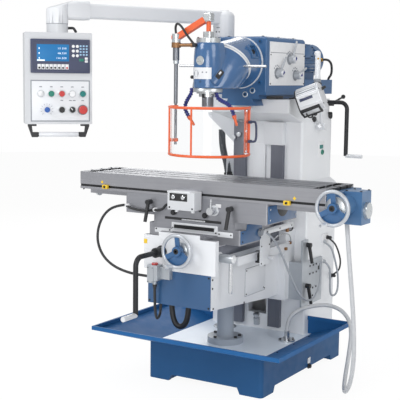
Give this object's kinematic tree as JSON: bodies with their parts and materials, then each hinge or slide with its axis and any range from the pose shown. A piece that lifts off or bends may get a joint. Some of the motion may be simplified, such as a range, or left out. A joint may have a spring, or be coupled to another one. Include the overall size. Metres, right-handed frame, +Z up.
{
  "type": "universal milling machine",
  "caption": "Knee-type universal milling machine with a swivelling slotted table, ram with a two-axis head, curved guard, work lamp, chip tray and a control panel on a swing arm.",
  "frame": {"origin": "middle of the base's foundation holes, on the floor", "axes": "+X along the table to the operator's right, +Y from the operator to the column, +Z up"},
  "size_m": [1.8014, 1.795, 2.022],
  "materials": {
    "blue_paint": "satin",
    "white_paint": "satin",
    "machined_iron": "satin",
    "bright_steel": "satin",
    "grey_plate": "satin",
    "grey_conduit": "matte",
    "pale_hose": "satin",
    "black_rubber": "matte",
    "black_handle": "satin",
    "blue_hose": "satin",
    "orange_paint": "satin",
    "clear_window": "gloss",
    "lamp_alloy": "satin",
    "green_cap": "gloss",
    "red_cap": "gloss",
    "white_cap": "gloss",
    "teal_cap": "gloss",
    "black_cap": "gloss",
    "blue_cap": "gloss"
  },
  "bodies": {
    "machine_frame": {"base_casting": "blue_paint", "chip_tray": "blue_paint", "column_casting": "white_paint", "screw_pedestal": "machined_iron", "drain_flange": "machined_iron", "arm_post": "white_paint", "column_cables": "grey_conduit", "drain_hose": "pale_hose"},
    "knee": {"knee_casting": "white_paint", "knee_front_cover": "blue_paint", "knee_clamp_plate": "grey_plate", "switch_box": "grey_plate", "knee_cables": "black_rubber"},
    "elevating_screw": {"elevating_screw": "bright_steel"},
    "knee_crank": {"knee_crank": "black_handle"},
    "cross_handwheel": {"cross_handwheel": "bright_steel"},
    "saddle_lock_lever": {"saddle_lock_lever": "bright_steel"},
    "knee_clamp_lever_upper": {"knee_clamp_lever_upper": "black_handle"},
    "knee_clamp_lever_lower": {"knee_clamp_lever_lower": "black_handle"},
    "saddle": {"saddle_casting": "machined_iron", "saddle_conduit": "grey_conduit"},
    "carriage": {"carriage_casting": "machined_iron", "trip_switch": "grey_plate", "table_cable": "black_rubber"},
    "feed_lever": {"feed_lever": "bright_steel"},
    "carriage_lever_left": {"carriage_lever_left": "black_handle"},
    "carriage_lever_right": {"carriage_lever_right": "black_handle"},
    "table": {"table_top": "machined_iron", "drive_housing": "blue_paint"},
    "table_screw": {"table_screw": "bright_steel"},
    "table_handwheel": {"table_handwheel": "bright_steel"},
    "ram": {"ram_slide": "blue_paint", "gearbox_housing": "blue_paint", "motor": "blue_paint"},
    "ram_crank": {"ram_crank": "black_handle"},
    "ram_lock_lever": {"ram_lock_lever": "black_handle"},
    "gear_lever_upper": {"gear_lever_upper": "bright_steel"},
    "gear_lever_left": {"gear_lever_left": "bright_steel"},
    "gear_lever_right": {"gear_lever_right": "bright_steel"},
    "swivel": {"swivel_body": "blue_paint"},
    "head": {"spindle_head": "blue_paint", "coolant_hoses": "blue_hose", "guard_post": "orange_paint"},
    "spindle": {"spindle": "bright_steel"},
    "guard_arm": {"guard_arm": "orange_paint"},
    "guard": {"guard_frame": "orange_paint", "guard_window": "clear_window"},
    "lamp_arm": {"lamp_arm": "white_paint"},
    "lamp_head": {"lamp_head": "lamp_alloy"},
    "panel_arm": {"panel_arm": "white_paint"},
    "panel": {"panel_box": "white_paint", "panel_handle": "black_handle"},
    "button_green": {"button_green": "green_cap"},
    "button_red": {"button_red": "red_cap"},
    "button_white": {"button_white": "white_cap"},
    "button_teal": {"button_teal": "teal_cap"},
    "button_black": {"button_black": "black_cap"},
    "speed_dial": {"speed_dial": "blue_cap"},
    "selector_switch": {"selector_switch": "black_cap"},
    "emergency_stop": {"emergency_stop": "red_cap"}
  },
  "joints": [
    {"name": "knee_lift", "type": "slide", "parent": "machine_frame", "child": "knee", "axis": [0, 0, 1], "range_m": [-0.065, 0.1], "deforming": ["knee_cables", "drain_hose"]},
    {"name": "elevating_screw_turn", "type": "hinge", "parent": "knee", "child": "elevating_screw", "pos_m": [0, -0.269, 0.6], "axis": [0, 0, 1], "continuous": true},
    {"name": "knee_crank_turn", "type": "hinge", "parent": "knee", "child": "knee_crank", "pos_m": [-0.104, -0.8, 0.757], "axis": [0, -1, 0], "continuous": true},
    {"name": "saddle_cross", "type": "slide", "parent": "knee", "child": "saddle", "axis": [0, 1, 0], "range_m": [-0.1, 0.12], "deforming": ["saddle_conduit", "table_cable", "drain_hose"]},
    {"name": "cross_handwheel_turn", "type": "hinge", "parent": "knee", "child": "cross_handwheel", "pos_m": [0.024, -0.8, 0.778], "axis": [0, -1, 0], "continuous": true},
    {"name": "saddle_lock_turn", "type": "hinge", "parent": "knee", "child": "saddle_lock_lever", "pos_m": [0.2, -0.667, 0.743], "axis": [1, 0, 0], "range_deg": [-25, 25]},
    {"name": "knee_clamp_upper_turn", "type": "hinge", "parent": "knee", "child": "knee_clamp_lever_upper", "pos_m": [0.32, 0.084, 0.716], "axis": [1, 0, 0], "range_deg": [-25, 25]},
    {"name": "knee_clamp_lower_turn", "type": "hinge", "parent": "knee", "child": "knee_clamp_lever_lower", "pos_m": [0.32, 0.084, 0.486], "axis": [1, 0, 0], "range_deg": [-25, 25]},
    {"name": "carriage_swivel", "type": "hinge", "parent": "saddle", "child": "carriage", "pos_m": [0, -0.448, 0.93], "axis": [0, 0, 1], "range_deg": [-30, 30], "deforming": ["table_cable", "drain_hose"]},
    {"name": "feed_lever_turn", "type": "hinge", "parent": "carriage", "child": "feed_lever", "pos_m": [0.122, -0.64, 0.968], "axis": [0, -1, 0], "range_deg": [-20, 20]},
    {"name": "carriage_lever_left_turn", "type": "hinge", "parent": "carriage", "child": "carriage_lever_left", "pos_m": [-0.262, -0.63, 0.985], "axis": [0, -1, 0], "range_deg": [-25, 25]},
    {"name": "carriage_lever_right_turn", "type": "hinge", "parent": "carriage", "child": "carriage_lever_right", "pos_m": [0.222, -0.63, 0.985], "axis": [0, -1, 0], "range_deg": [-25, 25]},
    {"name": "table_traverse", "type": "slide", "parent": "carriage", "child": "table", "axis": [1, 0, 0], "range_m": [-0.3, 0.265], "deforming": ["drain_hose"]},
    {"name": "table_screw_turn", "type": "hinge", "parent": "table", "child": "table_screw", "pos_m": [0, -0.448, 1.012], "axis": [1, 0, 0], "continuous": true},
    {"name": "table_handwheel_turn", "type": "hinge", "parent": "table", "child": "table_handwheel", "pos_m": [0.792, -0.67, 1.039], "axis": [0, -1, 0], "continuous": true},
    {"name": "ram_travel", "type": "slide", "parent": "machine_frame", "child": "ram", "axis": [0, 1, 0], "range_m": [-0.2, 0.15]},
    {"name": "ram_crank_turn", "type": "hinge", "parent": "machine_frame", "child": "ram_crank", "pos_m": [0.3, 0.44, 1.497], "axis": [1, 0, 0], "continuous": true},
    {"name": "ram_lock_turn", "type": "hinge", "parent": "machine_frame", "child": "ram_lock_lever", "pos_m": [0.26, 0.47, 1.488], "axis": [1, 0, 0], "range_deg": [-15, 15]},
    {"name": "gear_lever_upper_turn", "type": "hinge", "parent": "ram", "child": "gear_lever_upper", "pos_m": [0.17, 0.114, 1.735], "axis": [1, 0, 0], "range_deg": [-20, 20]},
    {"name": "gear_lever_left_turn", "type": "hinge", "parent": "ram", "child": "gear_lever_left", "pos_m": [0.17, -0.032, 1.658], "axis": [1, 0, 0], "range_deg": [-20, 20]},
    {"name": "gear_lever_right_turn", "type": "hinge", "parent": "ram", "child": "gear_lever_right", "pos_m": [0.17, 0.188, 1.648], "axis": [1, 0, 0], "range_deg": [-20, 20]},
    {"name": "swivel_tilt", "type": "hinge", "parent": "ram", "child": "swivel", "pos_m": [0, -0.2, 1.712], "axis": [0, 1, 0], "range_deg": [-60, 60]},
    {"name": "head_nod", "type": "hinge", "parent": "swivel", "child": "head", "pos_m": [0, -0.313, 1.705], "axis": [0, -0.7071, -0.7071], "range_deg": [-30, 30]},
    {"name": "spindle_turn", "type": "hinge", "parent": "head", "child": "spindle", "pos_m": [0, -0.487, 1.52], "axis": [0, 0, 1], "continuous": true},
    {"name": "guard_arm_turn", "type": "hinge", "parent": "head", "child": "guard_arm", "pos_m": [0, -0.487, 1.93], "axis": [0, 0, 1], "range_deg": [-35, 75]},
    {"name": "guard_open", "type": "hinge", "parent": "guard_arm", "child": "guard", "pos_m": [-0.15, -0.557, 1.4], "axis": [0, 0, 1], "range_deg": [-110, 0]},
    {"name": "lamp_arm_swing", "type": "hinge", "parent": "machine_frame", "child": "lamp_arm", "pos_m": [0.27, 0.285, 1.366], "axis": [1, 0, 0], "range_deg": [-5, 15]},
    {"name": "lamp_tilt", "type": "hinge", "parent": "lamp_arm", "child": "lamp_head", "pos_m": [0.358, 0.06, 1.766], "axis": [-0.5225, 0.8526, 0], "range_deg": [-25, 2]},
    {"name": "panel_arm_swing", "type": "hinge", "parent": "machine_frame", "child": "panel_arm", "pos_m": [-0.322, 0.216, 1.9], "axis": [0, 0, 1], "range_deg": [-40, 15]},
    {"name": "panel_turn", "type": "hinge", "parent": "panel_arm", "child": "panel", "pos_m": [-0.757, -0.766, 1.9], "axis": [0, 0, 1], "range_deg": [-60, 60]},
    {"name": "button_green_press", "type": "slide", "parent": "panel", "child": "button_green", "axis": [-0.7169, 0.6972, 0], "range_m": [0, 0.004], "stiffness_N_per_m": 500, "springref_m": -0.001},
    {"name": "button_red_press", "type": "slide", "parent": "panel", "child": "button_red", "axis": [-0.7169, 0.6972, 0], "range_m": [0, 0.004], "stiffness_N_per_m": 500, "springref_m": -0.001},
    {"name": "button_white_press", "type": "slide", "parent": "panel", "child": "button_white", "axis": [-0.7169, 0.6972, 0], "range_m": [0, 0.004], "stiffness_N_per_m": 500, "springref_m": -0.001},
    {"name": "button_teal_press", "type": "slide", "parent": "panel", "child": "button_teal", "axis": [-0.7169, 0.6972, 0], "range_m": [0, 0.004], "stiffness_N_per_m": 500, "springref_m": -0.001},
    {"name": "button_black_press", "type": "slide", "parent": "panel", "child": "button_black", "axis": [-0.7169, 0.6972, 0], "range_m": [0, 0.004], "stiffness_N_per_m": 500, "springref_m": -0.001},
    {"name": "emergency_stop_press", "type": "slide", "parent": "panel", "child": "emergency_stop", "axis": [-0.7169, 0.6972, 0], "range_m": [0, 0.005]},
    {"name": "selector_turn", "type": "hinge", "parent": "panel", "child": "selector_switch", "pos_m": [-0.6687, -0.75409, 1.454], "axis": [0.7169, -0.6972, 0], "range_deg": [-45, 45]},
    {"name": "speed_dial_turn", "type": "hinge", "parent": "panel", "child": "speed_dial", "pos_m": [-0.76079, -0.84879, 1.454], "axis": [0.7169, -0.6972, 0], "range_deg": [-135, 135]}
  ],
  "couplings": [
    {"joint": "elevating_screw_turn", "follows": "knee_lift", "rad_per_m": 125.66},
    {"joint": "knee_crank_turn", "follows": "knee_lift", "rad_per_m": 125.66},
    {"joint": "cross_handwheel_turn", "follows": "saddle_cross", "rad_per_m": 125.66},
    {"joint": "table_screw_turn", "follows": "table_traverse", "rad_per_m": 125.66},
    {"joint": "table_handwheel_turn", "follows": "table_traverse", "rad_per_m": -125.66},
    {"joint": "ram_crank_turn", "follows": "ram_travel", "rad_per_m": -62.832}
  ]
}
